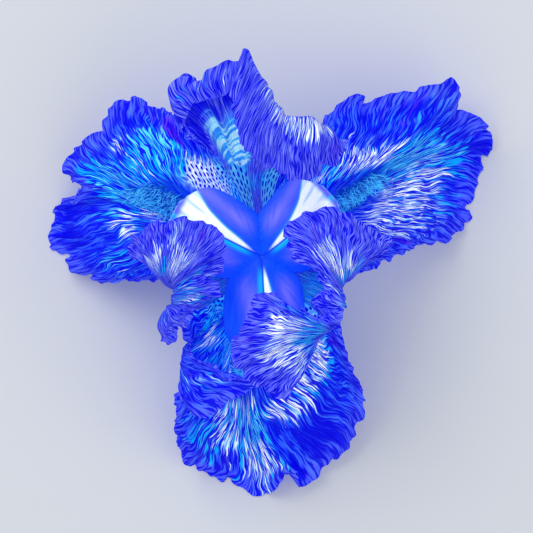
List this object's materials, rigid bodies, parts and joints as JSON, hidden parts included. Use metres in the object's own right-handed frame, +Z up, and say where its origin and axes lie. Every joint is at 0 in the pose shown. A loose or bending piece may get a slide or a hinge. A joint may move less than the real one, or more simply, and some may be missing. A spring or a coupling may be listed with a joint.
{
  "type": "iris flower",
  "caption": "Bearded iris bloom picked below its ovary and lying face up on its drooping falls, with domed standards, broad style arms, beards and stamens.",
  "frame": {"origin": "middle of the bloom's footprint, on the surface it lies on", "axes": "+Z up, out of the face of the bloom; +Y towards the standard at the top of the picture; +X towards its right"},
  "size_m": [0.1626, 0.1602, 0.0908],
  "materials": {
    "fall": "matt, velvety deep blue petal with fine paler veins and white to cyan streaks",
    "standard": "satin, deep blue to lavender petal with fine veins and white streaks",
    "style": "satin, blue-violet with a white to cyan band",
    "beard": "soft, teal hairs",
    "stamen": "matt, pale blue-white",
    "ovary": "satin, fresh green skin"
  },
  "bodies": {
    "root": {"ovary_and_tube": "ovary", "style_column": "style", "fall_west": "fall", "beard_west": "beard", "fall_south": "fall", "beard_south": "beard", "fall_east": "fall", "beard_east": "beard", "standard_north": "standard", "standard_west": "standard", "standard_east": "standard", "style_arm_northwest": "style", "style_arm_northeast": "style", "style_arm_south": "style", "filament_west": "stamen", "anther_west": "stamen", "filament_south": "stamen", "anther_south": "stamen", "filament_east": "stamen", "anther_east": "stamen"}
  },
  "joints": []
}
